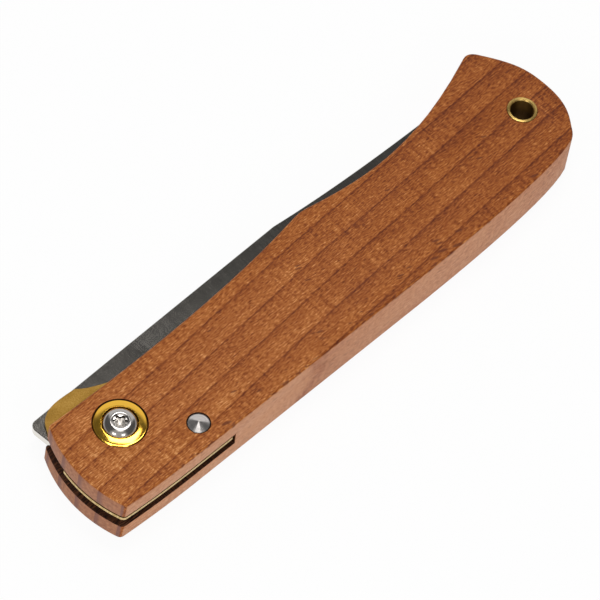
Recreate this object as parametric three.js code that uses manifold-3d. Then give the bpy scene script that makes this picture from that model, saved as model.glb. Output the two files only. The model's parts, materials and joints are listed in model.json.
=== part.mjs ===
// Folding pocket knife. A one-piece wooden handle is sawn open for a steel blade, which turns on a
// screwed pivot between two thin washers. A gold liner stands between the blade and the front
// wall, a pin across the slot stops the blade both open and closed, and a tube lines the lanyard
// hole. Sizes are in millimetres. X runs from the pivot axis to the butt, Y towards the side that
// the blade swings out of, and Z from the back face to the front face.
import * as THREE from "three";
import { mergeVertices, toCreasedNormals } from "three/addons/utils/BufferGeometryUtils.js";
import Module from "manifold-3d";

const wasm = await Module();
wasm.setup();

// Handle block
const handleThickness = 9.0;
const backReach = 12.0; // pivot axis to the straight back edge
const openReach = 6.95; // pivot axis to the opening edge beside it
const noseReach = 11.22; // pivot axis to the pivot end, half way up the block
const noseRadius = 23.0;
const noseCentreY = -3.5;
const noseLean = 0.07; // the pivot end leans out this much per mm towards the back face
const noseCorner = 0.75; // on the back edge
const noseOpenCorner = 0.4; // on the opening edge
const noseBackReach = 11.5; // the back edge eases in to this reach at the pivot end
const backEaseX = 5.0; // from here
const bump = { x: 48.8, reach: 9.9, spread: 2.0 }; // rounded crest on the opening edge
const hook = { x: 91.6, reach: 14.35, spread: 1.5 }; // upturned corner of the butt
const buttReach = 96.9; // pivot axis to the furthest point of the butt
const buttCrownY = 1.0;
const heel = { x: 93.05, reach: 8.8, spread: 1.1 }; // lower corner of the butt
const backStraight = 56.0; // the back edge is straight as far as this X
const edgeRound = 0.45;

// Blade
const bladeThickness = 1.5;
const spineReach = 11.0; // pivot axis to the spine, square to the handle
const spineRise = 0.0275; // slope of the spine along X
const tip = { x: 83.0, reach: 11.05 };
const clipX = 45.6; // the spine's clip starts here
const edgeReach = 6.2; // pivot axis to the line of the edge
const bellyX = 47.0; // the edge starts to curve up here
const plungeX = 11.2; // the grinds start here
const plungeWidth = 3.4;
const distalTaper = 0.55; // share of the spine's thickness that is lost at the tip
const edgeLand = 0.06; // thickness left at the very edge
const shoulderThickness = 0.42; // thickness where the edge bevel starts
const bevelHeight = 0.9;
const choil = { x: 12.9, radius: 1.15 };
const tabReach = 8.77; // pivot axis to the end of the tang's tab
const tabSlope = 0.083; // how much the tab's end draws in per mm towards the edge
const tabCorner = 1.3;
const bladeChamfer = 0.1;

// Pivot stack
const backWall = 3.2; // wood behind the blade's slot
const washerThickness = 0.15;
const washerRadius = 4.9;
const sideClearance = 0.04; // blade to each washer
const pivotRadius = 2.4;
const pivotClearance = 0.05;
const collarRadius = 4.25;
const collarHoleGap = 0.14;
const collarProud = 0.15; // the front collar's crown above the wood
const collarSetback = 0.1; // the back collar's crown below the wood
const collarCrown = 0.14; // drop of a collar's face from its crown out to its lip
const collarLip = 0.2; // rounding of that lip
const headRadius = 2.82;
const headGap = 0.11;
const headSeat = 1.1; // depth of the head's seat below the collar's crown
const headDrop = 0.3; // the front head's rim below that crown
const headDome = 0.92;
const sinkRadius = 1.46; // countersink round the recess
const sinkDepth = 0.2;
const recess = { radius: 0.99, lobe: 0.165, depth: 0.95, turn: Math.PI / 12 };
const screwRadius = 1.45;
const screwGap = 0.1;
const screwLength = 4.2;
const barrelEndGap = 0.4; // barrel's open end below the front head

// Liner
const linerThickness = 0.55;
const linerLength = 30.0; // pivot axis to the liner's inner end
const linerOpenReach = 5.4; // its straight upper edge, hidden behind the wood
const linerStepY = 0.9; // from here down it is flush with the pivot end
const linerInset = 0.95; // and above here it is set back
const lobe = { reach: 10.7, left: 7.35, shoulderX: 0.6, footX: 9.0 };
const kerfClearance = 0.3; // wood round the liner's edges
const kerfOverrun = 0.5; // the cuts at the back edge run this far past the liner
const kerfHeadroom = 0.27; // wood above the liner's face

// Slot
const pocketRadius = 17.5; // round end of the liner at the back edge
const slotFloorReach = 8.2; // pivot axis to the floor of the slot
const slotTipGap = 2.2; // from the blade's tip to the end of the slot

// Stop pin
const pin = { x: 9.0, y: -7.98, radius: 1.75, holeGap: 0.17, cone: 0.65, setback: 0.15, relief: 0.12 };

// Lanyard tube
const tubeX = 90.0; // pivot axis to the lanyard hole
const tubeRadius = 2.5;
const tubeBore = 1.92;
const tubeGap = 0.05;
const tubeProud = 0.08;
const tubeChamfer = 0.16;

// Values worked out from those above
const washerStack = washerThickness + sideClearance;
const bladeZ = backWall + washerStack + bladeThickness / 2;
const linerZ = backWall + 2 * washerStack + bladeThickness;
const linerTop = linerZ + linerThickness;
const frontCrown = handleThickness + collarProud;
const frontSeat = frontCrown - headSeat;
const tangRadius = Math.hypot(pin.x, pin.y) - pin.radius - pin.relief;
const turnSegments = 48;
const through = handleThickness * 3; // any cutter longer than the block is thick

const materials = {
  wood: { color: 0xa8683c, roughness: 0.62, metalness: 0 },
  bladeSteel: { color: 0x77767a, roughness: 0.38, metalness: 1 },
  brightSteel: { color: 0xb9bcc0, roughness: 0.24, metalness: 1 },
  gold: { color: 0xc79a2c, roughness: 0.3, metalness: 1 },
  bronze: { color: 0xa8794a, roughness: 0.45, metalness: 1 },
  brass: { color: 0xb99a55, roughness: 0.3, metalness: 1 },
};

// A closed geometry as a solid that can be joined and cut.
function solid(geometry) {
  const bare = geometry.clone();
  bare.deleteAttribute("normal");
  bare.deleteAttribute("uv");
  const merged = mergeVertices(bare, 1e-4);
  const mesh = new wasm.Mesh({
    numProp: 3,
    vertProperties: merged.attributes.position.array,
    triVerts: new Uint32Array(merged.index.array),
  });
  return new wasm.Manifold(mesh);
}

// A solid as a named mesh with creased normals.
function piece(name, shape, look) {
  const data = shape.getMesh();
  const geometry = new THREE.BufferGeometry();
  geometry.setAttribute("position", new THREE.BufferAttribute(data.vertProperties, 3));
  geometry.setIndex(new THREE.BufferAttribute(data.triVerts, 1));
  const mesh = new THREE.Mesh(toCreasedNormals(geometry, 0.5), new THREE.MeshStandardMaterial(look));
  mesh.name = name;
  return mesh;
}

// A plan outline as a slab from z0 to z1, with its corners broken by an optional round or chamfer.
function slab(outline, z0, z1, round = 0, steps = 1, curveSegments = 12) {
  const geometry = new THREE.ExtrudeGeometry(outline, {
    depth: z1 - z0 - 2 * round,
    bevelEnabled: round > 0,
    bevelThickness: round,
    bevelSize: round,
    bevelOffset: -round,
    bevelSegments: steps,
    curveSegments,
  });
  return geometry.translate(0, 0, z0 + round);
}

// A solid turned about a vertical axis, from [radius, height] pairs up its outside.
function turned(profile, x = 0, y = 0) {
  const points = profile.map(([radius, height]) => new THREE.Vector2(radius, height));
  const geometry = new THREE.LatheGeometry(points, turnSegments);
  return solid(geometry.rotateX(Math.PI / 2).translate(x, y, 0));
}

function rod(radius, z0, z1, x = 0, y = 0) {
  return turned([[0, z0], [radius, z0], [radius, z1], [0, z1]], x, y);
}

// Six-lobed socket, cut down from height z1 to z0.
function sixLobe(z0, z1) {
  const outline = new THREE.Shape();
  const steps = 48;
  for (let i = 0; i < steps; i++) {
    const angle = (i / steps) * 2 * Math.PI;
    const radius = recess.radius + recess.lobe * Math.cos(6 * (angle - recess.turn));
    const corner = [radius * Math.cos(angle), radius * Math.sin(angle)];
    if (i === 0) outline.moveTo(...corner);
    else outline.lineTo(...corner);
  }
  outline.closePath();
  return solid(slab(outline, z0, z1));
}

// The handle's plan: straight back, rounded heel, hooked butt, crested opening edge, arched nose.
function handlePlan() {
  const centreX = noseRadius - noseReach;
  const topAngle = Math.asin((openReach - noseCentreY) / noseRadius);
  const lowAngle = Math.asin((noseBackReach + noseCentreY) / noseRadius);
  const cornerAngle = noseCorner / noseRadius;
  const openAngle = noseOpenCorner / noseRadius;
  const topX = centreX - noseRadius * Math.cos(topAngle);
  const lowX = centreX - noseRadius * Math.cos(lowAngle);
  const buttX = buttReach;
  const plan = new THREE.Shape();
  plan.moveTo(lowX + noseCorner, -noseBackReach);
  plan.quadraticCurveTo((lowX + backEaseX) / 2, -backReach, backEaseX, -backReach);
  plan.lineTo(backStraight, -backReach);
  plan.bezierCurveTo(
    backStraight + 14, -backReach + 0.1,
    heel.x - 6.5, -heel.reach - 2.6,
    heel.x - heel.spread, -heel.reach - heel.spread * 0.5,
  );
  plan.quadraticCurveTo(heel.x, -heel.reach, heel.x + heel.spread * 0.65, -heel.reach + heel.spread);
  plan.bezierCurveTo(
    heel.x + 2.1, -heel.reach + 2.9,
    buttX, buttCrownY - 5.0,
    buttX, buttCrownY,
  );
  plan.bezierCurveTo(
    buttX, buttCrownY + 4.3,
    hook.x + 4.8, hook.reach - 7.0,
    hook.x + hook.spread * 0.75, hook.reach - hook.spread,
  );
  plan.quadraticCurveTo(hook.x, hook.reach, hook.x - hook.spread, hook.reach - hook.spread * 0.5);
  plan.bezierCurveTo(
    hook.x - 19.5, hook.reach - 7.7,
    bump.x + 13, bump.reach - 2.5,
    bump.x + bump.spread, bump.reach - bump.spread * 0.25,
  );
  plan.quadraticCurveTo(bump.x, bump.reach, bump.x - bump.spread, bump.reach - bump.spread * 0.17);
  plan.bezierCurveTo(
    bump.x - 18, openReach - 0.05,
    topX + 20, openReach - 0.6,
    topX + noseOpenCorner, openReach,
  );
  const first = Math.PI - topAngle + openAngle;
  const last = Math.PI + lowAngle - cornerAngle;
  const start = [centreX + noseRadius * Math.cos(first), noseCentreY + noseRadius * Math.sin(first)];
  plan.quadraticCurveTo(topX, openReach, ...start);
  plan.absarc(centreX, noseCentreY, noseRadius, first, last, false);
  plan.quadraticCurveTo(lowX, -noseBackReach, lowX + noseCorner, -noseBackReach);
  return plan;
}

// The block before sawing. Its pivot end leans out towards the back face.
function handleBlank() {
  const geometry = slab(handlePlan(), 0, handleThickness, edgeRound, 3);
  const spots = geometry.attributes.position;
  for (let i = 0; i < spots.count; i++) {
    const share = THREE.MathUtils.smoothstep(-spots.getX(i), 0.3 * noseReach, 0.75 * noseReach);
    const lean = noseLean * share * (handleThickness / 2 - spots.getZ(i));
    spots.setX(i, spots.getX(i) - lean);
  }
  return solid(geometry);
}

// Spine, clip and belly of the blade, as curves that are read by their X.
const clip = new THREE.QuadraticBezierCurve(
  new THREE.Vector2(clipX, spineReach + spineRise * clipX),
  new THREE.Vector2(clipX + 0.4 * (tip.x - clipX), tip.reach - 0.23),
  new THREE.Vector2(tip.x, tip.reach),
);
const belly = new THREE.CubicBezierCurve(
  new THREE.Vector2(bellyX, -edgeReach),
  new THREE.Vector2(bellyX + 0.54 * (tip.x - bellyX), -edgeReach),
  new THREE.Vector2(tip.x - 3.4, tip.reach - 7.5),
  new THREE.Vector2(tip.x, tip.reach),
);

function heightAt(curve, x) {
  let low = 0;
  let high = 1;
  for (let i = 0; i < 40; i++) {
    const middle = (low + high) / 2;
    if (curve.getPoint(middle).x < x) low = middle;
    else high = middle;
  }
  return curve.getPoint(low).y;
}

function spineAt(x) {
  return x < clipX ? spineReach + spineRise * x : heightAt(clip, x);
}

function edgeAt(x) {
  return x < bellyX ? -edgeReach : heightAt(belly, x);
}

// Outline of the tang: tab, round back and kick. Its straight end is buried in the ground part.
function tangPlan(joinX) {
  const tabTop = spineReach - spineRise * tabReach;
  const tabX = (y) => -tabReach + tabSlope * (tabTop - y - tabCorner);
  const slope = Math.hypot(1, tabSlope);
  const offset = (-tabReach + tabSlope * (tabTop - tabCorner)) / slope;
  const meet = Math.PI - Math.acos(-offset / tangRadius) + Math.atan(tabSlope);
  const kick = 2 * Math.PI - Math.asin(edgeReach / tangRadius);
  const plan = new THREE.Shape();
  plan.moveTo(joinX, -edgeReach);
  plan.lineTo(joinX, spineAt(joinX));
  plan.lineTo(-tabReach + tabCorner, tabTop);
  plan.quadraticCurveTo(-tabReach + 0.12 * tabCorner, tabTop, tabX(tabTop - tabCorner), tabTop - tabCorner);
  plan.absarc(0, 0, tangRadius, meet, kick, false);
  plan.closePath();
  return plan;
}

// One ring of the ground part of the blade, round the section at x.
function bladeRing(x) {
  const spine = spineAt(x);
  const edge = edgeAt(x);
  const width = spine - edge;
  const ground = THREE.MathUtils.smoothstep(x, plungeX, plungeX + plungeWidth);
  const taper = 1 - distalTaper * Math.max(0, (x - clipX) / (tip.x - clipX));
  const full = bladeThickness / 2;
  const chamfer = Math.min(bladeChamfer, width / 4);
  const shoulder = Math.min(bevelHeight, width / 3);
  const half = (height) => {
    const share = height / width;
    const flat = (shoulderThickness / 2) * (1 - share) + full * share;
    return THREE.MathUtils.lerp(full, flat * taper, ground);
  };
  const side = [
    [spine, half(width) - chamfer],
    [spine - chamfer, half(width)],
    [edge + 0.75 * width, half(0.75 * width)],
    [edge + 0.5 * width, half(0.5 * width)],
    [edge + 0.3 * width, half(0.3 * width)],
    [edge + shoulder, half(shoulder)],
    [edge, THREE.MathUtils.lerp(full, edgeLand / 2, ground)],
  ];
  const other = side.map(([y, z]) => [y, -z]).reverse();
  return side.concat(other).map(([y, z]) => new THREE.Vector3(x, y, z));
}

// A closed skin over rings of points, flat at the first ring and pointed at the last.
function skin(rings, point) {
  const count = rings[0].length;
  const spots = rings.flat().concat([point]);
  const faces = [];
  for (let i = 1; i < count - 1; i++) faces.push(0, i + 1, i);
  for (let r = 0; r + 1 < rings.length; r++) {
    for (let i = 0; i < count; i++) {
      const a = r * count + i;
      const b = r * count + ((i + 1) % count);
      faces.push(a, b, a + count, b, b + count, a + count);
    }
  }
  const last = (rings.length - 1) * count;
  for (let i = 0; i < count; i++) faces.push(last + i, last + ((i + 1) % count), spots.length - 1);
  const geometry = new THREE.BufferGeometry().setFromPoints(spots);
  geometry.setIndex(faces);
  return geometry;
}

// Tang and ground part of the blade, with the pivot hole and the choil.
function makeBlade() {
  const joinX = plungeX - 0.4;
  const stations = [joinX - 1.5, joinX];
  for (let i = 1; i <= 8; i++) stations.push(plungeX + (plungeWidth * i) / 8);
  for (let i = 1; i <= 5; i++) stations.push(THREE.MathUtils.lerp(plungeX + plungeWidth, clipX, i / 5));
  for (let i = 1; i < 26; i++) {
    stations.push(THREE.MathUtils.lerp(clipX, tip.x, Math.sin((i / 26) * (Math.PI / 2))));
  }
  const ground = solid(skin(stations.map(bladeRing), new THREE.Vector3(tip.x, tip.reach, 0)));
  const half = bladeThickness / 2;
  const tang = solid(slab(tangPlan(joinX), -half, half, bladeChamfer));
  const bore = rod(pivotRadius + pivotClearance, -through, through);
  const notch = rod(choil.radius, -through, through, choil.x, -edgeReach - 0.3 * choil.radius);
  return ground.add(tang).subtract(bore).subtract(notch);
}

// The blade's slot in plan: a round pocket at the pivot and a channel that follows the belly.
function slotPlan() {
  const floor = -slotFloorReach;
  const mouth = bump.reach + hook.reach;
  const endX = tip.x + slotTipGap;
  const plan = new THREE.Shape();
  plan.moveTo(0, floor);
  plan.lineTo(bellyX + 3, floor);
  plan.bezierCurveTo(
    bellyX + 3 + 0.55 * (endX - bellyX), floor,
    endX - 3, tip.reach - 8,
    endX, tip.reach,
  );
  plan.lineTo(endX + 1, mouth);
  plan.lineTo(0, mouth);
  plan.closePath();
  return plan;
}

// Pocket and channel that hold the liner, grown at the channel's edges and round the pocket.
function linerSpace(z0, z1, grow, overrun, mouth) {
  const channel = new THREE.Shape();
  channel.moveTo(0, -slotFloorReach + kerfClearance - grow);
  channel.lineTo(linerLength + grow, -slotFloorReach + kerfClearance - grow);
  channel.lineTo(linerLength + grow, mouth);
  channel.lineTo(0, mouth);
  channel.closePath();
  return rod(pocketRadius + overrun, z0, z1).add(solid(slab(channel, z0, z1)));
}

function makeHandle() {
  const sawTop = linerTop + kerfHeadroom;
  const mouth = bump.reach + hook.reach;
  const collarHole = collarRadius + collarHoleGap;
  return handleBlank()
    .subtract(solid(slab(slotPlan(), backWall, linerZ)))
    .subtract(linerSpace(backWall, linerZ, 0, kerfOverrun, mouth))
    .subtract(linerSpace(linerZ - kerfClearance, sawTop, kerfClearance, kerfOverrun, mouth))
    .subtract(rod(collarHole, -through, through))
    .subtract(rod(pin.radius + pin.holeGap, -through, through, pin.x, pin.y))
    .subtract(rod(tubeRadius + tubeGap, -through, through, tubeX, 0));
}

// Liner: flush with the handle's end and back, stepped in above linerStepY, with its lobe on top.
function makeLiner() {
  const far = 2 * noseReach;
  const lift = new THREE.Shape();
  lift.moveTo(-noseReach + linerInset, linerStepY);
  lift.lineTo(linerLength, linerStepY);
  lift.lineTo(linerLength, linerOpenReach);
  lift.lineTo(lobe.footX + 2, linerOpenReach);
  lift.lineTo(lobe.footX, openReach);
  lift.quadraticCurveTo(lobe.shoulderX + 2.3, lobe.reach - 2.25, lobe.shoulderX, lobe.reach - 0.18);
  lift.quadraticCurveTo(-0.45 * lobe.left, lobe.reach + 0.25, -0.66 * lobe.left, lobe.reach - 0.25);
  lift.quadraticCurveTo(-0.92 * lobe.left, lobe.reach - 0.9, -lobe.left, 0.8 * lobe.reach);
  lift.quadraticCurveTo(-lobe.left - 1.9, 0.5 * lobe.reach, -noseReach + linerInset, linerStepY);
  const lower = new THREE.Shape();
  lower.moveTo(-far, linerStepY);
  lower.lineTo(-far, -far);
  lower.lineTo(linerLength, -far);
  lower.lineTo(linerLength, linerStepY);
  lower.closePath();
  return linerSpace(linerZ, linerTop, 0, 0, linerStepY)
    .intersect(handleBlank())
    .intersect(solid(slab(lower, linerZ - 1, linerTop + 1)))
    .add(solid(slab(lift, linerZ, linerTop)))
    .subtract(rod(pivotRadius + 2 * pivotClearance, -through, through))
    .subtract(rod(pin.radius + pin.holeGap, -through, through, pin.x, pin.y));
}

function makeWasher(z0) {
  const bore = rod(pivotRadius + 2 * pivotClearance, -through, through);
  return rod(washerRadius, z0, z0 + washerThickness).subtract(bore);
}

// A collar from the slot side to its crowned face, with a seat for a head. It is drawn face up,
// with the crown at height 0.
function collarAt(length) {
  const seatRadius = headRadius + headGap;
  const boreRadius = pivotRadius + 2 * pivotClearance;
  const lip = [];
  for (let i = 0; i <= 4; i++) {
    const angle = (i / 4) * (Math.PI / 2);
    const radius = collarRadius - collarLip * (1 - Math.cos(angle));
    lip.push([radius, -collarCrown - collarLip * (1 - Math.sin(angle))]);
  }
  return turned([
    [boreRadius, -length],
    [collarRadius, -length],
    ...lip,
    [(collarRadius + seatRadius) / 2, -0.3 * collarCrown],
    [seatRadius + 0.04, 0],
    [seatRadius, -0.04],
    [seatRadius, -headSeat],
    [boreRadius, -headSeat],
    [boreRadius, -length],
  ]);
}

// Button-head screw from the front, with a dome, a countersink and a six-lobed socket.
function makeScrew() {
  const rim = frontCrown - headDrop;
  const crown = rim + headDome;
  const dome = [];
  for (let i = 0; i <= 7; i++) {
    const angle = (i / 7) * (Math.PI / 2);
    const radius = sinkRadius + (headRadius - sinkRadius) * Math.cos(angle);
    dome.push([radius, rim + headDome * Math.sin(angle)]);
  }
  const body = turned([
    [0, frontSeat - screwLength],
    [screwRadius - 0.2, frontSeat - screwLength],
    [screwRadius, frontSeat - screwLength + 0.2],
    [screwRadius, frontSeat],
    [headRadius, frontSeat],
    ...dome,
    [recess.radius + recess.lobe, crown - sinkDepth],
    [0, crown - sinkDepth],
  ]);
  return body.subtract(sixLobe(crown - recess.depth, crown + 1));
}

// Barrel nut from the back: flat head, six-lobed socket and a blind thread hole.
function makeBarrel() {
  const headTop = collarSetback + headSeat;
  const open = frontSeat - barrelEndGap;
  const holeFloor = frontSeat - screwLength - 0.4;
  const body = turned([
    [0, collarSetback],
    [headRadius - 0.2, collarSetback],
    [headRadius, collarSetback + 0.2],
    [headRadius, headTop],
    [pivotRadius, headTop],
    [pivotRadius, open],
    [screwRadius + screwGap, open],
    [screwRadius + screwGap, holeFloor],
    [0, holeFloor],
  ]);
  return body.subtract(sixLobe(-1, collarSetback + recess.depth));
}

// Stop pin with a low cone at each end, its rims below the wood's faces.
function makePin() {
  const backRim = pin.setback + pin.cone;
  const frontEnd = handleThickness - pin.setback;
  return turned(
    [
      [0, backRim - pin.cone],
      [pin.radius - 0.1, backRim - 0.05],
      [pin.radius, backRim + 0.1],
      [pin.radius, frontEnd - 0.1],
      [pin.radius - 0.1, frontEnd],
      [0, frontEnd + pin.cone],
    ],
    pin.x,
    pin.y,
  );
}

// Lanyard tube with a chamfered bore. Its back end stays below the back face.
function makeTube() {
  const low = tubeProud;
  const high = handleThickness + tubeProud;
  return turned(
    [
      [tubeBore + tubeChamfer, low],
      [tubeRadius - 0.06, low],
      [tubeRadius, low + 0.06],
      [tubeRadius, high - 0.06],
      [tubeRadius - 0.06, high],
      [tubeBore + tubeChamfer, high],
      [tubeBore, high - tubeChamfer],
      [tubeBore, low + tubeChamfer],
      [tubeBore + tubeChamfer, low],
    ],
    tubeX,
    0,
  );
}

const handleGroup = new THREE.Group();
handleGroup.add(
  piece("handle", makeHandle(), materials.wood),
  piece("liner", makeLiner(), materials.gold),
  piece("stop_pin", makePin(), materials.brightSteel),
  piece("lanyard_tube", makeTube(), materials.brass),
);

const pivotGroup = new THREE.Group();
const frontCollar = collarAt(frontCrown - linerTop).translate([0, 0, frontCrown]);
const backCollar = collarAt(backWall - collarSetback).rotate([180, 0, 0]).translate([0, 0, collarSetback]);
pivotGroup.add(
  piece("front_collar", frontCollar, materials.gold),
  piece("back_collar", backCollar, materials.gold),
  piece("pivot_barrel", makeBarrel(), materials.brightSteel),
  piece("pivot_screw", makeScrew(), materials.brightSteel),
  piece("back_washer", makeWasher(backWall), materials.bronze),
  piece("front_washer", makeWasher(linerZ - washerThickness), materials.bronze),
);

// The blade turns about the pivot's axis from this closed place.
const bladeGroup = new THREE.Group();
bladeGroup.position.z = bladeZ;
bladeGroup.add(piece("blade", makeBlade(), materials.bladeSteel));

// The knife lies on its back face, with its origin under the middle of its bounding box.
const knife = new THREE.Group();
knife.add(handleGroup, pivotGroup, bladeGroup);
const reach = new THREE.Box3().setFromObject(knife);
const middle = reach.getCenter(new THREE.Vector3());
knife.position.set(-middle.x, -middle.y, -reach.min.z);

export default knife;
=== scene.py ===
"""Looks of the folding pocket knife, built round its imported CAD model.

The knife lies closed on its back face. Lengths named below are in millimetres, and MM turns them
into metres. Places are measured from the blade's pivot axis on the back face: X runs to the butt,
Y to the side that the blade swings out of, and Z up to the front face.
"""
import json
import math

import bmesh
import bpy
from mathutils import Matrix, Vector


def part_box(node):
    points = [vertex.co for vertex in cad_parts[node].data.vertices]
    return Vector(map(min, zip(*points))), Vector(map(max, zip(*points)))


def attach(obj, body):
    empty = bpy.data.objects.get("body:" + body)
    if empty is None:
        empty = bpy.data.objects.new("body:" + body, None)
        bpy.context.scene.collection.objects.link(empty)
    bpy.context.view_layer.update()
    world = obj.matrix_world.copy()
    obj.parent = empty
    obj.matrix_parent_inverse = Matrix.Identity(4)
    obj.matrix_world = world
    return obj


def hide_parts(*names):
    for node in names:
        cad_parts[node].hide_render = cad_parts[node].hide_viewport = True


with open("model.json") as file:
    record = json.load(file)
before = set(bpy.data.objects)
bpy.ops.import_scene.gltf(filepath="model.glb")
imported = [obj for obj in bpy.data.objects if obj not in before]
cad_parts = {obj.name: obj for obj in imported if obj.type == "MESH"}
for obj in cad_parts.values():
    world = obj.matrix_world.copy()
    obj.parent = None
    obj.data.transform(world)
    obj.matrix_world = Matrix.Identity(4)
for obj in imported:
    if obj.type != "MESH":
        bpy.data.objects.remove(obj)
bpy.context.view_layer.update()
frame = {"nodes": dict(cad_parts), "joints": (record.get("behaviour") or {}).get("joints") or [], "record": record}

MM = 0.001
hinge = frame["joints"][0]["pos_m"]
PIVOT = Vector((hinge[0], hinge[1], 0.0))
FACE_HEIGHT = frame["record"]["mounts"][1]["pos_m"][2] / MM


def paint(red, green, blue):
    """A colour as it shows on a screen, from 0 to 255, turned into the shader's linear values."""
    shares = [value / 255 for value in (red, green, blue)]
    return tuple(v / 12.92 if v <= 0.04045 else ((v + 0.055) / 1.055) ** 2.4 for v in shares)


# Camera, from the pivot axis on the back face
CAMERA_PLACE = Vector((-241.227, -216.316, 526.959))
CAMERA_LOOK = Vector((0.444126, 0.342154, -0.828060))
CAMERA_UP = Vector((0.551628, 0.623852, 0.553639))
CAMERA_LENS = 240.0
CAMERA_SENSOR = 36.0
CAMERA_CLIP = (0.01, 20.0)  # in metres

# Growth rings in the wood: dark lines on the front face that climb towards the butt
RING_WIDTH = 4.2
RING_START = -1.6
RING_SLOPE = 0.0814
RING_SAG = 0.000136
RING_WANDER = 1.1
RING_TONES = (
    (0.0, 0.40), (0.04, 0.56), (0.2, 0.58), (0.45, 0.52),
    (0.75, 0.48), (0.9, 0.42), (0.95, 0.34), (0.975, 0.12), (1.0, 0.34),
)
RING_END_BANDS = ((0.0, 0.0), (0.03, 1.0), (0.72, 1.0), (0.88, 0.1), (1.0, 0.0))

# Patterns in the wood: how finely each one varies along X, Y and Z, per millimetre
SLOW_WANDER = (0.03, 0.12, 0.12)
FIBRE = (0.8, 6.0, 6.0)
STRAND = (0.16, 1.9, 1.9)
RIPPLE = (2.6, 0.30, 0.5)
PATCHES = (0.09, 0.2, 0.2)  # where the ripple is strong
BLOTCH = (0.12, 0.22, 0.22)
# Short light and dark dashes along the fibres: fibre figure, and painted glints
FIBRE_GLINT_DASHES = (1.3, 5.0, 5.0)
FLECK_CROWDS = (0.08, 0.14, 0.1)
CHIPS = (0.9, 2.5, 2.5)
SAWN_LENGTHWAYS = (4.5, 0.6, 1.0)
SAWN_CROSSWAYS = (0.6, 4.5, 1.0)
PORES = (0.8, 9.0, 9.0)

# Levels between which a pattern comes in
NOISE_REACH = (0.3, 0.7)  # most of a noise texture lies between these
PATCH_LEVELS = (0.42, 0.66)
CROWD_LEVELS = (0.5, 0.68)
CHIP_LEVELS = (0.58, 0.64)
PORE_LEVELS = (0.0, 0.35)

# How far each pattern sways the wood's tone
FIBRE_SWING = 1.2
STRAND_SWING = 0.35
RIPPLE_SWING = (0.12, 0.62)  # outside the patches and in them
BLOTCH_SWING = 0.3
# The dashes' sway: fibre figure, and painted glints
FIBRE_GLINT_SWING = 1.1
LENGTH_SWING = 0.10  # the pivot end is lighter by this, and the butt darker
WOOD_REACH = (-10.0, 95.0)  # pivot end and butt along X

# Flecks, chips, slot and drilled holes in the wood, with painted shade in the slot and on the holes' walls
FLECK_TILT = math.radians(-18)
FLECK_STRETCH = 0.26
FLECK_SIZE = 0.18
FLECK_SIZE_AT_BACK = 0.12
FLECK_BACK = (-6.0, -10.0)  # Y from which flecks crowd towards the back edge
FLECK_FADE = (1.0, 0.6)  # a fleck comes in between these shares of its size
FLECK_STRENGTH = 0.75
FLECK_LOSS_ON_EDGE = 0.5
CHIP_BACK = (-11.3, -11.7)  # Y of the back edge's arris
CHIP_DEPTH = (0.6, 0.3)  # from the front face
CHIP_STRENGTH = 0.7
SLOT_SKIN = (0.9, 1.1)  # no sawn surface lies nearer to either face
NOSE_SAWN = (-2.0, -5.0)  # X where the saw's marks turn across the handle
HOLE_SLACK = 0.5  # a hole's wall is looked for this far round what sits in it
HOLE_FADE = 0.1

# How far the wood's surface faces across, along or up before it takes on another look
EDGE_FACING = (0.80, 0.96)
END_FACING = (0.70, 0.90)
SAWN_FACING = (0.5, 0.7)
HOLE_SHADE_FACING = (0.7, 0.4)

WOOD_FACE = (
    (0.0, paint(92, 38, 12)), (0.25, paint(126, 60, 20)), (0.5, paint(157, 85, 32)),
    (0.75, paint(187, 114, 55)), (1.0, paint(224, 160, 98)),
)
# Side walls: paler edge grain, lightened further as a painted sheen
WOOD_EDGE_AND_SHEEN = (
    (0.0, paint(166, 102, 70)), (0.5, paint(206, 146, 108)), (1.0, paint(226, 172, 134)),
)
WOOD_END = ((0.3, paint(160, 106, 80)), (0.7, paint(190, 134, 100)))
WOOD_END_LINE = paint(142, 98, 84)
WOOD_FLECK = paint(96, 44, 24)
WOOD_CHIP = paint(104, 52, 34)
# Floor and roof of the slot: burnt wood, darkened further as painted shade
WOOD_SAWN_AND_SHADE = ((0.3, paint(28, 12, 6)), (0.5, paint(60, 32, 18)), (0.7, paint(112, 68, 42)))
# Painted shade on the walls of the holes round the bushes and the pin
WOOD_HOLE_SHADE = paint(56, 30, 17)
WOOD_ROUGHNESS = (0.66, 0.5)
WOOD_SPECULAR = 0.2
WOOD_GROOVES = 0.035
PORE_SHARE = 0.35  # of the grooves, and the fibres have the rest

# Blade: its ramps are the metal's own linear colours
TANG_END = (12.6, 11.4)  # X where the flat tang meets the grind
STEEL_GROUND = ((0.3, (0.225, 0.213, 0.192)), (0.7, (0.345, 0.325, 0.293)))
STEEL_FLAT = (
    (0.3, (0.21, 0.196, 0.177)), (0.5, (0.31, 0.289, 0.26)), (0.72, (0.54, 0.505, 0.455)),
)
STEEL_SHEARED = paint(226, 222, 214)
STEEL_ROUGHNESS = (0.10, 0.13)
STEEL_SCRATCHES = 0.001

# Liner
GOLD_FLAT = ((0.3, paint(114, 82, 24)), (0.5, paint(150, 114, 46)), (0.72, paint(186, 148, 78)))
# Sheared edges of the liner: a painted reflection of a bright light
GOLD_EDGE_REFLECTION = ((0.35, paint(190, 160, 100)), (0.65, paint(226, 200, 148)))
GOLD_METALLIC = 0.85
GOLD_ROUGHNESS = (0.42, 0.56)
GOLD_GRAIN = 0.012
GOLD_TUMBLE = 0.06  # rounding of the liner's edges

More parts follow.
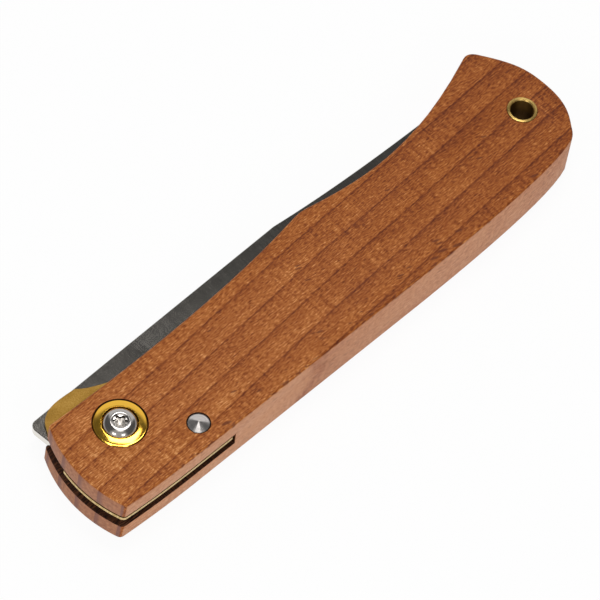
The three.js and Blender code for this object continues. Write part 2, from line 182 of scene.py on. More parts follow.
# Turned metal
GOLD = paint(250, 194, 74)
BRIGHT_STEEL = paint(186, 186, 188)
SCREW_STEEL = paint(188, 183, 178)
PIN_STEEL = paint(204, 198, 194)
BRONZE = paint(176, 134, 92)
BRASS = paint(206, 172, 100)
MARK_DARK = 0.86  # the tool marks' darkest and lightest share of a metal's colour
MARK_LIGHT = 1.08
MARK_SCALE = 9.0
MARK_CLIMB = 0.7  # height counts this much beside the radius, so upright walls have rings too
SMEAR_SCALE = 0.9
SMEAR_SHINE = (0.8, 1.25)  # shares of the roughness, in smears
# Socket of the screw: painted shade on its walls, painted highlight on its floor
SOCKET_WALL_SHADE = paint(52, 44, 38)
SOCKET_BOTTOM_HIGHLIGHT = paint(232, 224, 214)
BROACHED_ROUGHER = 0.25
SOCKET_SHADE_FACING = (0.6, 0.3)
BROACHED_FADE = (0.05, 0.08)  # outwards and downwards
# Bore of the tube: tarnish, darkened further as painted shade
BORE_TARNISH_AND_SHADE = paint(104, 76, 34)
TARNISHED_ROUGHER = 0.3
BORE_SHADE_FACING = (0.5, 0.2)

# How upright a surface has to be to count as a sheared edge, from none of it to all of it
SHEARED_EDGE = (0.6, 0.3)

# Broken arrises of the wood, and how sharp an edge has to be to count as one
ARRIS = 0.07
ARRIS_ANGLE = math.radians(40)
WELD = 0.0005  # points nearer to each other than this become one
FLAT_ANGLE = math.radians(0.4)  # and so do faces with less than this between them

# Turned pieces
TURNED_SIDES = 144
TURNED_SHARP = math.radians(32)

# Bushes, with heights measured down from the crown
COLLAR_BORE = 2.5
HEAD_SEAT = 1.1
HEAD_GAP = 0.10
FACE_DROP = 0.18  # a bush's face falls this far from its crown to its lip
FACE_CURVE = 0.48  # the share of that fall that grows with the square of the way
FACE_STEPS = 8
LIP = 1.5  # radius of the gentle round on that lip
LIP_SLOPES = (38, 46)  # the round runs between these slopes, in degrees
LIP_DROP = 0.34
LIP_WIDTH = 0.15
LIP_EDGE = (0.03, 0.10)  # rings on the upright wall, below the lip
INNER_LIP = 0.02
INNER_LIP_SLOPES = (-15, -90)

# Pivot screw and barrel nut
DOME_RISE = 0.92
DOME_START = math.radians(33)  # the dome's arc begins here, so its rim isn't upright
DOME_STEPS = 16
HEAD_BREAK = 0.05
SHANK = 1.45
SHANK_CHAMFER = 0.25
SINK_RADIUS = 1.46
SINK_ROUND = 0.42  # rounding of the crest's inner side, down to this slope in degrees
SINK_SLOPE = -44
SINK_DEPTH = 0.24
SINK_BREAK = (0.01, 0.03)
SOCKET = 0.99  # mean radius of the six-lobed socket
SOCKET_LOBE = 0.165
SOCKET_TURN = math.radians(15)
SOCKET_DEPTH = 0.8
SOCKET_TAPER = 0.02
SOCKET_FLOOR = (0.8, 0.6, 0.02)  # shares of radius and lobe, and drop below the socket's walls
DRILL = (0.7, 0.06)  # share of the radius, and drop
DRILL_DEPTH = 0.45  # cone at the socket's floor
AXLE = 2.4
AXLE_CHAMFER = 0.1
BARREL_HEAD_ROUND = 0.22
BLIND_HOLE = SHANK + 0.1
BLIND_FLOOR = (4.0, 3.8)  # height of the hole's floor at its wall and in its middle

# Stop pin: rings of its blunt point, and of its rim from the cone's foot
PIN_CONE = 0.64
PIN_POINT = ((0, 0.0), (0.04, 0.006), (0.12, 0.035))
PIN_RIM = ((-0.12, -0.04), (-0.03, 0.0), (0.0, 0.1))

# Lanyard tube
TUBE_WALL = 0.58
TUBE_CHAMFER = 0.17
TUBE_CHAMFER_FOOT = (0.02, 0.05)
TUBE_BREAK = 0.06
TUBE_ROUND = 0.07

# Studio: ways from the knife, and what polished metal sees of the room
NEAR = Vector((-CAMERA_LOOK.x, -CAMERA_LOOK.y, 0)).normalized()
UPWARDS = Vector((0, 0, 1))
LEFT = NEAR.cross(UPWARDS)
WORLD_LEVEL = 0.46
ROOM_SIDES = 0.12
ROOM_BACKDROP = 0.75  # what a pale wall behind the knife adds
ROOM_BACKDROP_EDGE = (0.05, 0.3)  # it fades in between these shares towards it
ROOM_BACKDROP_TOP = (0.70, 0.80)  # and out between these shares upwards
ROOM_FRONT = 0.42  # what the room in front adds
ROOM_FRONT_EDGE = (-0.3, 0.1)
ROOM_HORIZON = 0.5  # what a pale band round the floor adds
ROOM_HORIZON_TOP = (0.1, 0.3)

# Floor: the eye and reflections see this much of it as plain white, the rest holds the shadow
FLOOR_REACH = 2.0  # in metres
FLOOR_DROP = 0.02
FLOOR_COLOUR = (0.96, 0.96, 0.96)
FLOOR_ROUGHNESS = 0.9
FLOOR_GLOW = 0.93

# Softboxes: name, way from the knife, width and height in metres, power in watts
SOFTBOX_DISTANCE = 0.6
SOFTBOXES = (
    ("top_softbox", UPWARDS - NEAR * 0.31, 0.21, 0.17, 1.0),
    ("zenith_softbox", UPWARDS + NEAR * 0.1, 0.21, 0.12, 0.22),
    ("left_softbox", NEAR + LEFT * 0.49 + UPWARDS * 0.75, 0.13, 0.14, 0.4),
    ("right_softbox", NEAR - LEFT * 0.49 + UPWARDS * 0.75, 0.13, 0.14, 0.4),
)


def middle_of(node):
    low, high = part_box(node)
    return (low + high) / 2


def radius_of(node):
    """Radius of a round CAD node in millimetres."""
    low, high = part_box(node)
    return (high.x - low.x) / 2 / MM


def span_of(node):
    """Lowest and highest point of a CAD node in millimetres."""
    low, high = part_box(node)
    return low.z / MM, high.z / MM


class Tree:
    """Short calls for the nodes of a material or of the world."""

    def __init__(self, owner):
        owner.use_nodes = True
        self.nodes = owner.node_tree.nodes
        self.links = owner.node_tree.links

    def put(self, socket, value):
        if isinstance(value, bpy.types.NodeSocket):
            self.links.new(value, socket)
        elif value is not None:
            socket.default_value = value

    def add(self, kind, *values, **settings):
        """A new node with these settings, and these values in its first sockets."""
        node = self.nodes.new(kind)
        for name, setting in settings.items():
            setattr(node, name, setting)
        for socket, value in zip(node.inputs, values):
            self.put(socket, value)
        return node

    def calc(self, operation, *numbers):
        return self.add("ShaderNodeMath", *numbers, operation=operation).outputs[0]

    def vector(self, operation, a, b):
        return self.add("ShaderNodeVectorMath", a, b, operation=operation).outputs["Vector"]

    def share_along(self, vector, direction):
        node = self.add("ShaderNodeVectorMath", vector, direction, operation="DOT_PRODUCT")
        return node.outputs["Value"]

    def span(self, value, low, high, to_low=0.0, to_high=1.0, smooth=True):
        """A value between low and high, brought to between to_low and to_high."""
        kind = "SMOOTHSTEP" if smooth else "LINEAR"
        numbers = (value, low, high, to_low, to_high)
        return self.add("ShaderNodeMapRange", *numbers, interpolation_type=kind).outputs["Result"]

    def between(self, share, a, b):
        """The number that lies at this share of the way from a to b."""
        return self.span(share, 0.0, 1.0, a, b, smooth=False)


class Finish(Tree):
    """A material that knows its place on the knife in millimetres."""

    def __init__(self, name):
        self.material = bpy.data.materials.new(name)
        super().__init__(self.material)
        self.shader = self.nodes["Principled BSDF"]
        self.coordinates = self.add("ShaderNodeTexCoord").outputs
        shifted = self.vector("SUBTRACT", self.coordinates["Object"], PIVOT)
        self.place = self.vector("MULTIPLY", shifted, (1 / MM,) * 3)
        self.x, self.y, self.z = self.split(self.place)

    def set(self, **values):
        """Sets the shader's sockets, with _ in a name standing for a space."""
        for name, value in values.items():
            self.put(self.shader.inputs[name.replace("_", " ")], value)

    def split(self, vector):
        return tuple(self.add("ShaderNodeSeparateXYZ", vector).outputs)

    def join(self, x, y, z):
        return self.add("ShaderNodeCombineXYZ", x, y, z).outputs[0]

    def length(self, x, y):
        squares = [self.calc("POWER", side, 2.0) for side in (x, y)]
        return self.calc("SQRT", self.calc("ADD", *squares))

    def facing(self):
        """The surface's own direction in the part's frame, as its three shares."""
        return self.split(self.coordinates["Normal"])

    def turned(self, share_x, share_y):
        """How far the place lies along a level direction with these shares."""
        return self.calc("MULTIPLY_ADD", self.x, share_x, self.calc("MULTIPLY", self.y, share_y))

    def stretched(self, fineness):
        """The place with each axis scaled, which stretches a texture along the smaller ones."""
        return self.vector("MULTIPLY", self.place, fineness)

    def noise(self, place, scale=1.0, detail=2.0, roughness=0.5):
        node = self.add("ShaderNodeTexNoise", place)
        for name, value in (("Scale", scale), ("Detail", detail), ("Roughness", roughness)):
            self.put(node.inputs[name], value)
        return node.outputs["Fac"]

    def grain(self, fineness, detail=2.0, roughness=0.5):
        return self.noise(self.stretched(fineness), detail=detail, roughness=roughness)

    def cells(self, place):
        """Distance to the middle of the nearest cell."""
        node = self.add("ShaderNodeTexVoronoi", place)
        self.put(node.inputs["Scale"], 1.0)
        return node.outputs["Distance"]

    def ramp(self, value, stops):
        """A colour or grey along stops of (position, value)."""
        node = self.add("ShaderNodeValToRGB", value)
        elements = node.color_ramp.elements
        while len(elements) < len(stops):
            elements.new(0.5)
        for element, (position, colour) in zip(elements, stops):
            element.position = position
            rgb = (colour,) * 3 if isinstance(colour, float) else colour
            element.color = (*rgb, 1.0)
        return node.outputs["Color"]

    def mix(self, factor, a, b):
        """A blend of two colours."""
        node = self.add("ShaderNodeMix", factor, data_type="RGBA")
        colours = [socket for socket in node.inputs if socket.type == "RGBA"]
        for socket, value in zip(colours, (a, b)):
            self.put(socket, (*value, 1.0) if isinstance(value, tuple) else value)
        return [socket for socket in node.outputs if socket.type == "RGBA"][0]

    def blend(self, a, b, share):
        """One pattern over another, by the first one's share."""
        return self.calc("MULTIPLY_ADD", a, share, self.calc("MULTIPLY", b, 1 - share))

    def bump(self, height, depth):
        """A normal for a height from 0 to 1 that stands for this many millimetres."""
        node = self.add("ShaderNodeBump")
        node.inputs["Strength"].default_value = 1.0
        node.inputs["Distance"].default_value = depth * MM
        self.put(node.inputs["Height"], height)
        return node.outputs["Normal"]


def way_between_rings(f):
    """How far a place lies from one dark line to the next, from 0 to 1."""
    slow = f.grain(SLOW_WANDER, detail=1.0)
    wander = f.calc("MULTIPLY_ADD", slow, RING_WANDER, -RING_WANDER / 2)
    climb = f.calc("MULTIPLY", f.x, f.calc("MULTIPLY_ADD", f.x, -RING_SAG, RING_SLOPE))
    height = f.calc("ADD", f.calc("SUBTRACT", f.y, climb), wander)
    rings = f.calc("MULTIPLY_ADD", height, 1 / RING_WIDTH, -RING_START / RING_WIDTH)
    return f.calc("FRACT", rings)


def wood_tone(f, ring, fibre, strand):
    """Light and dark of the wood, mostly from 0 to 1."""
    ripple = f.grain(RIPPLE, detail=1.5, roughness=0.6)
    ripple_swing = f.span(f.grain(PATCHES, detail=1.0), *PATCH_LEVELS, *RIPPLE_SWING)
    tone = f.ramp(ring, RING_TONES)
    for pattern, swing in (
        (fibre, FIBRE_SWING),
        (strand, STRAND_SWING),
        (ripple, ripple_swing),
        (f.grain(BLOTCH), BLOTCH_SWING),
        (f.grain(FIBRE_GLINT_DASHES, detail=1.0), FIBRE_GLINT_SWING),
    ):
        tone = f.calc("MULTIPLY_ADD", f.calc("SUBTRACT", pattern, 0.5), swing, tone)
    length = f.span(f.x, *WOOD_REACH, LENGTH_SWING, -LENGTH_SWING, smooth=False)
    return f.calc("ADD", tone, length)


def grained(f, ring, tone, strand, on_edge, on_end):
    """Colour of the face grain, the paler edge grain lightened further as a painted sheen on the side walls, and
    the bands of end grain.
    """
    end = f.mix(f.ramp(ring, RING_END_BANDS), WOOD_END_LINE, f.ramp(strand, WOOD_END))
    sides = f.mix(on_edge, f.ramp(tone, WOOD_FACE), f.ramp(tone, WOOD_EDGE_AND_SHEEN))
    return f.mix(on_end, sides, end)


def with_flecks(f, colour, on_edge, on_end):
    """Short dark leaning flecks, in crowds and by the back edge, and none on the end grain."""
    along = f.turned(math.cos(FLECK_TILT), math.sin(FLECK_TILT))
    over = f.turned(-math.sin(FLECK_TILT), math.cos(FLECK_TILT))
    spots = f.cells(f.join(f.calc("MULTIPLY", along, FLECK_STRETCH), over, f.z))
    crowds = f.span(f.grain(FLECK_CROWDS, detail=0.0), *CROWD_LEVELS, 0.0, FLECK_SIZE)
    size = f.calc("ADD", crowds, f.span(f.y, *FLECK_BACK, 0.0, FLECK_SIZE_AT_BACK))
    fleck = f.span(f.calc("DIVIDE", spots, f.calc("ADD", size, 0.001)), *FLECK_FADE)
    kept = f.calc("MULTIPLY_ADD", on_edge, -FLECK_LOSS_ON_EDGE, FLECK_STRENGTH)
    kept = f.calc("MULTIPLY", f.calc("SUBTRACT", 1.0, on_end), kept)
    return f.mix(f.calc("MULTIPLY", fleck, kept), colour, WOOD_FLECK)


def with_chips(f, colour):
    """Small dark chips on the front arris of the back edge."""
    chipped = f.span(f.grain(CHIPS, detail=1.0), *CHIP_LEVELS)
    top = f.span(f.z, *[FACE_HEIGHT - depth for depth in CHIP_DEPTH])
    arris = f.calc("MULTIPLY", f.span(f.y, *CHIP_BACK), top)
    share = f.calc("MULTIPLY", f.calc("MULTIPLY", chipped, arris), CHIP_STRENGTH)
    return f.mix(share, colour, WOOD_CHIP)


def with_shaded_sawn_slot(f, colour, upwards):
    """Dark floor and roof of the slot, with marks of the saw: burnt wood, darkened further as painted shade."""
    below_face = f.span(f.z, *[FACE_HEIGHT - depth for depth in SLOT_SKIN])
    inside = f.calc("MULTIPLY", f.span(f.z, *SLOT_SKIN), below_face)
    sawn_shade = f.calc("MULTIPLY", inside, f.span(upwards, *SAWN_FACING))
    lengthways = f.grain(SAWN_LENGTHWAYS, roughness=0.6)
    crossways = f.grain(SAWN_CROSSWAYS, roughness=0.6)
    marks = f.between(f.span(f.x, *NOSE_SAWN), lengthways, crossways)
    return f.mix(sawn_shade, colour, f.ramp(marks, WOOD_SAWN_AND_SHADE))


def with_shaded_hole_wall(f, colour, node, upwards):
    """Painted shade on the wall of the hole round this CAD node."""
    axis = (middle_of(node) - PIVOT) / MM
    away = f.length(f.calc("SUBTRACT", f.x, axis.x), f.calc("SUBTRACT", f.y, axis.y))
    edge = radius_of(node) + HOLE_SLACK
    near = f.span(away, edge, edge - HOLE_FADE)
    wall_shade = f.calc("MULTIPLY", near, f.span(upwards, *HOLE_SHADE_FACING))
    return f.mix(wall_shade, colour, WOOD_HOLE_SHADE)


def wood_finish():
    """Oiled reddish hardwood: growth rings, fibres, cross ripple, dark flecks and end grain."""
    f = Finish("oiled_hardwood")
    lengthways, sideways, upwards = [f.calc("ABSOLUTE", share) for share in f.facing()]
    on_edge = f.span(sideways, *EDGE_FACING)
    on_end = f.span(lengthways, *END_FACING)
    ring = way_between_rings(f)
    fibre = f.grain(FIBRE, detail=3.0, roughness=0.7)
    strand = f.grain(STRAND, detail=3.0)
    tone = wood_tone(f, ring, fibre, strand)
    colour = grained(f, ring, tone, strand, on_edge, on_end)
    colour = with_flecks(f, colour, on_edge, on_end)
    colour = with_chips(f, colour)
    colour = with_shaded_sawn_slot(f, colour, upwards)
    for node in ("front_collar", "back_collar", "stop_pin"):
        colour = with_shaded_hole_wall(f, colour, node, upwards)
    pores = f.span(f.cells(f.stretched(PORES)), *PORE_LEVELS)
    grooves = f.blend(pores, fibre, PORE_SHARE)
    f.set(
        Base_Color=colour,
        Roughness=f.span(fibre, *NOISE_REACH, *WOOD_ROUGHNESS),
        Specular_IOR_Level=WOOD_SPECULAR,
        Normal=f.bump(grooves, WOOD_GROOVES),
    )
    return f.material


def satin_steel_finish():
    """Dark blade steel, ground along its height, with a brighter flat tang."""
    f = Finish("satin_blade_steel")
    ground = f.grain((9.0, 0.5, 0.5), detail=3.0, roughness=0.7)
    cloud = f.grain((0.5, 0.5, 0.5), detail=3.0)
    speck = f.grain((5.0, 5.0, 5.0), roughness=0.7)
    grind = f.blend(ground, cloud, 0.6)
    flat = f.blend(speck, cloud, 0.7)
    tang = f.span(f.x, *TANG_END)
    sides = f.mix(tang, f.ramp(grind, STEEL_GROUND), f.ramp(flat, STEEL_FLAT))
    sheared = f.span(f.calc("ABSOLUTE", f.facing()[2]), *SHEARED_EDGE)
    f.set(
        Base_Color=f.mix(sheared, sides, STEEL_SHEARED),
        Metallic=1.0,
        Roughness=f.span(ground, *NOISE_REACH, *STEEL_ROUGHNESS),
        Normal=f.bump(f.blend(ground, speck, 0.6), STEEL_SCRATCHES),
    )
    return f.material


def blasted_gold_finish():
    """Matte gold plate: speckled on its faces, and its sheared edges painted paler as the reflection of a bright
    light.
    """
    f = Finish("blasted_gold")
    speck = f.noise(f.place, scale=6.0, roughness=0.7)
    cloud = f.noise(f.place, scale=0.35)
    flat = f.blend(speck, cloud, 0.7)
    shear = f.grain((4.0, 4.0, 0.6), detail=1.0)
    on_edge = f.span(f.calc("ABSOLUTE", f.facing()[2]), *SHEARED_EDGE)
    f.set(
        Base_Color=f.mix(on_edge, f.ramp(flat, GOLD_FLAT), f.ramp(shear, GOLD_EDGE_REFLECTION)),
        Metallic=GOLD_METALLIC,
        Roughness=f.span(speck, *NOISE_REACH, *GOLD_ROUGHNESS),
        Normal=f.bump(speck, GOLD_GRAIN),
    )
    return f.material


def with_socket(f, radius, z, top, surface, shine):
    """Colour and roughness with a broached socket below this height: painted shade on its walls and a painted
    highlight on its floor.
    """
    wide = SOCKET + SOCKET_LOBE
    outwards, downwards = BROACHED_FADE
    within = f.span(radius, (wide + outwards) * MM, wide * MM)
    inside = f.calc("MULTIPLY", within, f.span(z, top * MM, (top - downwards) * MM))
    wall_shade = f.span(f.facing()[2], *SOCKET_SHADE_FACING)
    surface = f.mix(inside, surface, f.mix(wall_shade, SOCKET_BOTTOM_HIGHLIGHT, SOCKET_WALL_SHADE))
    return surface, f.calc("MULTIPLY_ADD", inside, BROACHED_ROUGHER, shine)


def with_shaded_bore(f, surface, shine):
    """Colour and roughness with upright walls that are tarnished and darkened further as painted shade."""
    wall_shade = f.span(f.calc("ABSOLUTE", f.facing()[2]), *BORE_SHADE_FACING)
    surface = f.mix(wall_shade, surface, BORE_TARNISH_AND_SHADE)
    return surface, f.calc("MULTIPLY_ADD", wall_shade, TARNISHED_ROUGHER, shine)


def turned_metal_finish(
    name, colour, roughness, groove, brushed=0.0, socket_top=None, bore=False,
):
    """Metal turned about the vertical axis of its own piece, with fine rings of tool marks.

    Brushed is how far its highlights spread across the rings, and socket_top the height of the
    socket's upper edge in millimetres.
    """
    f = Finish(name)
    x, y, z = f.split(f.coordinates["Object"])
    radius = f.length(x, y)
    steps = f.calc("MULTIPLY", f.calc("MULTIPLY_ADD", z, MARK_CLIMB, radius), 1 / MM)
    marks = f.noise(f.join(steps, 0.0, 0.0), scale=MARK_SCALE, detail=3.0, roughness=0.7)
    smear = f.noise(f.place, scale=SMEAR_SCALE)
    dark = tuple(c * MARK_DARK for c in colour)
    light = tuple(min(1.0, c * MARK_LIGHT) for c in colour)
    surface = f.mix(f.span(marks, *NOISE_REACH), dark, light)
    shine = f.span(smear, *NOISE_REACH, *[roughness * share for share in SMEAR_SHINE])
    if socket_top:
        surface, shine = with_socket(f, radius, z, socket_top, surface, shine)
    if bore:
        surface, shine = with_shaded_bore(f, surface, shine)
    f.set(Base_Color=surface, Metallic=1.0, Roughness=shine, Normal=f.bump(marks, groove))
    if brushed:
        around = f.add("ShaderNodeTangent", direction_type="RADIAL", axis="Z").outputs[0]
        f.set(Anisotropic=brushed, Anisotropic_Rotation=0.25, Tangent=around)
    return f.material


def dress(node, material):
    """Gives a CAD node that stays visible its material."""
    mesh = frame["nodes"][node].data
    mesh.materials.clear()
    mesh.materials.append(material)


def round_edges(piece, name, width):
    """Rounds the sharp edges of a piece by this many millimetres."""
    bevel = piece.modifiers.new(name, "BEVEL")
    bevel.width = width * MM
    bevel.segments = 2
    bevel.limit_method = "ANGLE"
    bevel.angle_limit = ARRIS_ANGLE
    return bevel


def add_piece(name, shape, material, node, place=(0.0, 0.0, 0.0)):
    """A new smooth piece from a finished shape, that stands for this CAD node of the handle."""
    mesh = bpy.data.meshes.new(name)
    shape.to_mesh(mesh)
    shape.free()
    mesh.shade_smooth()
    mesh.materials.append(material)
    piece = bpy.data.objects.new(name, mesh)
    piece.location = place
    bpy.context.scene.collection.objects.link(piece)
    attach(piece, "handle")
    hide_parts(node)
    return piece


def make_handle():
    """The block, from the CAD solid, with its arrises broken a little."""
    shape = bmesh.new()
    shape.from_mesh(frame["nodes"]["handle"].data)
    bmesh.ops.remove_doubles(shape, verts=shape.verts, dist=WELD * MM)
    bmesh.ops.dissolve_limit(
        shape, angle_limit=FLAT_ANGLE, verts=shape.verts, edges=shape.edges,
    )
    piece = add_piece("handle_block", shape, wood_finish(), "handle")
    round_edges(piece, "broken_arris", ARRIS).harden_normals = True


def add_ring(shape, radius, height, lobe):
    """Points of one ring of a turned piece. A radius of 0 is a point on the axis."""
    if radius == 0:
        return [shape.verts.new((0, 0, height * MM))] * TURNED_SIDES
    ring = []
    for i in range(TURNED_SIDES):
        angle = 2 * math.pi * i / TURNED_SIDES
        out = (radius + lobe * math.cos(6 * (angle - SOCKET_TURN))) * MM
        ring.append(shape.verts.new((out * math.cos(angle), out * math.sin(angle), height * MM)))
    return ring


def turned_piece(name, node, profile, material, closed=False):
    """A turned piece on the vertical axis of the CAD node that it replaces.

    Its profile lists (radius, height, lobe) in millimetres, and a lobe makes the ring six-lobed. A
    closed profile joins its last ring to its first.
    """
    axis = middle_of(node)
    axis.z = 0.0
    shape = bmesh.new()
    rings = [add_ring(shape, *ring) for ring in profile]
    if closed:
        rings.append(rings[0])
    for low_ring, high_ring in zip(rings, rings[1:]):
        for i in range(TURNED_SIDES):
            j = (i + 1) % TURNED_SIDES
            corners = [low_ring[i], low_ring[j], high_ring[j], high_ring[i]]
            shape.faces.new(dict.fromkeys(corners))
    bmesh.ops.recalc_face_normals(shape, faces=shape.faces)
    piece = add_piece(name, shape, material, node, axis)
    piece.data.set_sharp_from_angle(angle=TURNED_SHARP)


def plain(*rings):
    """Round rings of a profile."""
    return [(radius, height, 0.0) for radius, height in rings]


def arc(centre, radius, first, last, *, steps):
    """Rings along a round edge, from the slope first to the slope last, in degrees."""
    rings = []
    for i in range(steps + 1):
        slope = math.radians(first + (last - first) * i / steps)
        out = centre[0] + radius * math.sin(slope)
        rings.append((out, centre[1] + radius * math.cos(slope)))
    return plain(*rings)


def socket_rings(face, way):
    """Countersink, six-lobed socket and drilled floor, into a face at this height."""
    side, drop = SINK_BREAK
    share, lobe_share, fall = SOCKET_FLOOR
    rings = arc((SINK_RADIUS, -SINK_ROUND), SINK_ROUND, 0, SINK_SLOPE, steps=6)
    rings += plain((SOCKET + SOCKET_LOBE + side, -SINK_DEPTH))
    rings.append((SOCKET, -SINK_DEPTH - drop, SOCKET_LOBE))
    rings.append((SOCKET - SOCKET_TAPER, -SOCKET_DEPTH, SOCKET_LOBE))
    rings.append((SOCKET * share, -SOCKET_DEPTH - fall, SOCKET_LOBE * lobe_share))
    rings += plain((SOCKET * DRILL[0], -SOCKET_DEPTH - DRILL[1]), (0, -SOCKET_DEPTH - DRILL_DEPTH))
    return [(radius, face + way * height, lobe) for radius, height, lobe in rings]


def make_screw(material):
    """Button head with a countersunk six-lobed socket, on its plain shank."""
    low, crown = span_of("pivot_screw")
    head = radius_of("pivot_screw")
    seat = span_of("front_collar")[1] - HEAD_SEAT
    rim = crown - DOME_RISE
    profile = plain(
        (0, low), (SHANK - SHANK_CHAMFER, low), (SHANK, low + SHANK_CHAMFER), (SHANK, seat),
        (head - HEAD_BREAK, seat), (head, seat + HEAD_BREAK),
    )
    start = math.sin(DOME_START)
    for i in range(DOME_STEPS + 1):
        angle = DOME_START + (math.pi / 2 - DOME_START) * i / DOME_STEPS
        out = SINK_RADIUS + (head - SINK_RADIUS) * math.cos(angle) / math.cos(DOME_START)
        share = (math.sin(angle) - start) / (1 - start)
        profile += plain((out, rim + DOME_RISE * share))
    profile += socket_rings(crown, 1)
    turned_piece("button_head_screw", "pivot_screw", profile, material)


def make_collar(name, node, way, material):
    """A bush with a crowned face, a rounded lip and a step down to the head's seat."""
    low, high = span_of(node)
    crown, foot = (high, low) if way > 0 else (low, high)
    out = radius_of(node)
    seat = radius_of("pivot_screw") + HEAD_GAP
    start = seat + INNER_LIP
    end = out - LIP_WIDTH
    rings = plain((COLLAR_BORE, way * (foot - crown)), (out, way * (foot - crown)))
    rings += plain(*[(out, -LIP_DROP - edge) for edge in reversed(LIP_EDGE)])
    slope = math.radians(LIP_SLOPES[0])
    middle = (end - LIP * math.sin(slope), -FACE_DROP - LIP * math.cos(slope))
    rings += arc(middle, LIP, LIP_SLOPES[1], LIP_SLOPES[0], steps=5)
    for i in range(FACE_STEPS, -1, -1):
        share = i / FACE_STEPS
        drop = FACE_DROP * ((1 - FACE_CURVE) * share + FACE_CURVE * share ** 2)
        rings += plain((start + (end - start) * share, -drop))
    rings += arc((start, -INNER_LIP), INNER_LIP, *INNER_LIP_SLOPES, steps=4)
    rings += plain((seat, -HEAD_SEAT), (COLLAR_BORE, -HEAD_SEAT))
    profile = [(radius, crown + way * height, lobe) for radius, height, lobe in rings]
    turned_piece(name, node, profile, material, closed=True)


def make_barrel(material):
    """Barrel nut: flat back head with a six-lobed socket, the blade's axle and its blind hole."""
    low, high = span_of("pivot_barrel")
    head = radius_of("pivot_barrel")
    head_top = low + HEAD_SEAT
    edge = BARREL_HEAD_ROUND
    profile = list(reversed(socket_rings(low, -1)))
    for radius, height, lobe in arc((head - edge, 0.0), edge, 0, 90, steps=5):
        profile.append((radius, low + edge - height, lobe))
    profile += plain(
        (head, head_top), (AXLE, head_top),
        (AXLE, high - AXLE_CHAMFER), (AXLE - AXLE_CHAMFER, high),
        (BLIND_HOLE, high), (BLIND_HOLE, low + BLIND_FLOOR[0]), (0, low + BLIND_FLOOR[1]),
    )
    turned_piece("barrel_nut", "pivot_barrel", profile, material)


def make_pin(material):
    """Stop pin with a turned cone at each end and a broken rim."""
    low, high = span_of("stop_pin")
    out = radius_of("stop_pin")
    end = [*PIN_POINT, *((out + side, PIN_CONE + depth) for side, depth in PIN_RIM)]
    profile = plain(*[(radius, low + depth) for radius, depth in end])
    profile += plain(*[(radius, high - depth) for radius, depth in reversed(end)])
    turned_piece("cone_pin", "stop_pin", profile, material)


def make_tube(material):
    """Lanyard tube with a brushed rim and a bright chamfer into a dark bore."""
    low, high = span_of("lanyard_tube")
    out = radius_of("lanyard_tube")
    bore = out - TUBE_WALL
    side, drop = TUBE_CHAMFER_FOOT
    profile = plain((bore + TUBE_CHAMFER, low), (out - TUBE_BREAK, low), (out, low + TUBE_BREAK))
    profile += arc((out - TUBE_ROUND, high - TUBE_ROUND), TUBE_ROUND, 90, 0, steps=4)
    profile += plain(
        (bore + TUBE_CHAMFER, high), (bore + side, high - TUBE_CHAMFER),
        (bore, high - TUBE_CHAMFER - drop), (bore, low + TUBE_CHAMFER),
    )
    turned_piece("brass_tube", "lanyard_tube", profile, material, closed=True)


def floor_finish():
    """White to the eye and in reflections, but for a share that keeps the shadow."""
    material = bpy.data.materials.new("white_floor")
    tree = Tree(material)
    shader = tree.nodes["Principled BSDF"]
    shader.inputs["Base Color"].default_value = (*FLOOR_COLOUR, 1.0)
    shader.inputs["Roughness"].default_value = FLOOR_ROUGHNESS
    glow = tree.add("ShaderNodeEmission")
    glow.inputs["Strength"].default_value = 1.0
    path = tree.add("ShaderNodeLightPath").outputs
    seen = tree.calc("MAXIMUM", path["Is Camera Ray"], path["Is Glossy Ray"])
    share = tree.calc("MULTIPLY", seen, FLOOR_GLOW)
    blend = tree.add("ShaderNodeMixShader", share, shader.outputs[0], glow.outputs[0])
    tree.put(tree.nodes["Material Output"].inputs["Surface"], blend.outputs[0])
    return material


def make_stage():
    mesh = bpy.data.meshes.new("floor")
    reach = FLOOR_REACH
    corners = [(-reach, -reach, 0), (reach, -reach, 0), (reach, reach, 0), (-reach, reach, 0)]
    mesh.from_pydata(corners, [], [(0, 1, 2, 3)])
    mesh.materials.append(floor_finish())
    floor = bpy.data.objects.new("floor", mesh)
    floor.location.z = -FLOOR_DROP * MM
    bpy.context.scene.collection.objects.link(floor)


def make_world():
    """White where the eye sees it, even light on the knife, and a dim room in reflections."""
    world = bpy.data.worlds.new("studio")
    bpy.context.scene.world = world
    tree = Tree(world)
    way = tree.add("ShaderNodeTexCoord").outputs["Generated"]
    height = tree.share_along(way, UPWARDS)
    away = tree.share_along(way, -NEAR)
    towards = tree.share_along(way, NEAR)
    aside = tree.calc("ABSOLUTE", tree.share_along(way, LEFT))
    behind = tree.span(tree.calc("SUBTRACT", away, aside), *ROOM_BACKDROP_EDGE)
    behind = tree.calc("MULTIPLY", behind, tree.span(height, *ROOM_BACKDROP_TOP, 1.0, 0.0))
    before = tree.span(tree.calc("SUBTRACT", towards, aside), *ROOM_FRONT_EDGE)
    room = tree.calc("MAXIMUM", tree.calc("MULTIPLY", behind, ROOM_BACKDROP),
                     tree.calc("MULTIPLY", before, ROOM_FRONT))
    room = tree.calc("MAXIMUM", room, tree.span(height, *ROOM_HORIZON_TOP, ROOM_HORIZON, 0.0))
    room = tree.calc("ADD", room, ROOM_SIDES)
    path = tree.add("ShaderNodeLightPath").outputs
    reflected = tree.between(path["Is Glossy Ray"], WORLD_LEVEL, room)
    shown = tree.between(path["Is Camera Ray"], reflected, 1.0)
    background = tree.nodes["Background"]
    background.inputs["Color"].default_value = (1.0, 1.0, 1.0, 1.0)
    tree.put(background.inputs["Strength"], shown)


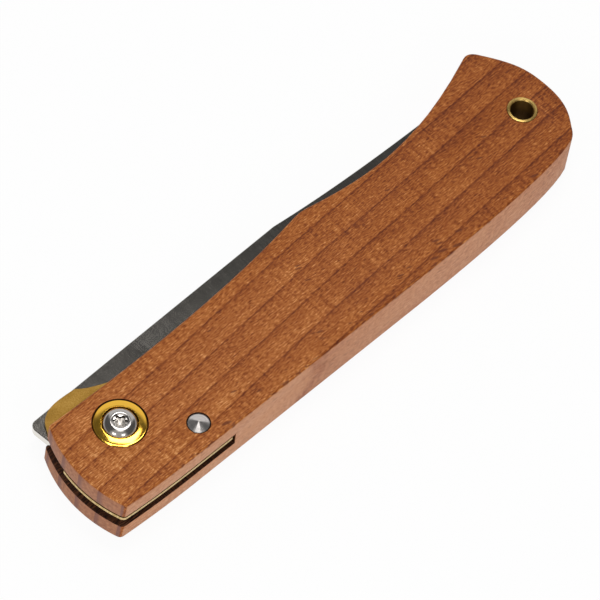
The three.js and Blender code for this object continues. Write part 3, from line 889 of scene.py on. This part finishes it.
def make_softbox(name, direction, width, height, power):
    """A soft rectangular lamp that faces the knife from a direction."""
    lamp = bpy.data.lights.new(name, "AREA")
    lamp.shape = "RECTANGLE"
    lamp.size = width
    lamp.size_y = height
    lamp.energy = power
    holder = bpy.data.objects.new(name, lamp)
    bpy.context.scene.collection.objects.link(holder)
    back = direction.normalized()
    across = (LEFT - back * back.dot(LEFT)).normalized()
    turn = Matrix((across, back.cross(across), back)).transposed().to_4x4()
    holder.matrix_world = Matrix.Translation(back * SOFTBOX_DISTANCE) @ turn


def make_camera():
    data = bpy.data.cameras.new("camera")
    data.lens = CAMERA_LENS
    data.sensor_width = CAMERA_SENSOR
    data.clip_start, data.clip_end = CAMERA_CLIP
    camera = bpy.data.objects.new("camera", data)
    bpy.context.scene.collection.objects.link(camera)
    back = -CAMERA_LOOK.normalized()
    right = CAMERA_UP.cross(back).normalized()
    turn = Matrix((right, back.cross(right), back)).transposed().to_4x4()
    camera.matrix_world = Matrix.Translation(PIVOT + CAMERA_PLACE * MM) @ turn
    bpy.context.scene.camera = camera


make_handle()
dress("blade", satin_steel_finish())
dress("liner", blasted_gold_finish())
round_edges(frame["nodes"]["liner"], "tumbled_edges", GOLD_TUMBLE)

socket_top = span_of("pivot_screw")[1] - SINK_DEPTH
polished_gold = turned_metal_finish("polished_gold", GOLD, roughness=0.11, groove=0.002)
bright_steel = turned_metal_finish("bright_steel", BRIGHT_STEEL, roughness=0.16, groove=0.003)
screw_steel = turned_metal_finish(
    "screw_steel", SCREW_STEEL, roughness=0.16, groove=0.003, socket_top=socket_top,
)
turned_steel = turned_metal_finish(
    "turned_steel", PIN_STEEL, roughness=0.22, groove=0.0005, brushed=0.8,
)
plain_bronze = turned_metal_finish("plain_bronze", BRONZE, roughness=0.35, groove=0.01)
tube_brass = turned_metal_finish(
    "tube_brass", BRASS, roughness=0.3, groove=0.002, brushed=0.7, bore=True,
)
make_collar("front_bush", "front_collar", 1, polished_gold)
make_collar("back_bush", "back_collar", -1, polished_gold)
make_screw(screw_steel)
make_barrel(bright_steel)
make_pin(turned_steel)
make_tube(tube_brass)
for node in ("front_washer", "back_washer"):
    dress(node, plain_bronze)

make_stage()
make_world()
for softbox in SOFTBOXES:
    make_softbox(*softbox)
make_camera()
bpy.context.scene.view_settings.view_transform = "Standard"
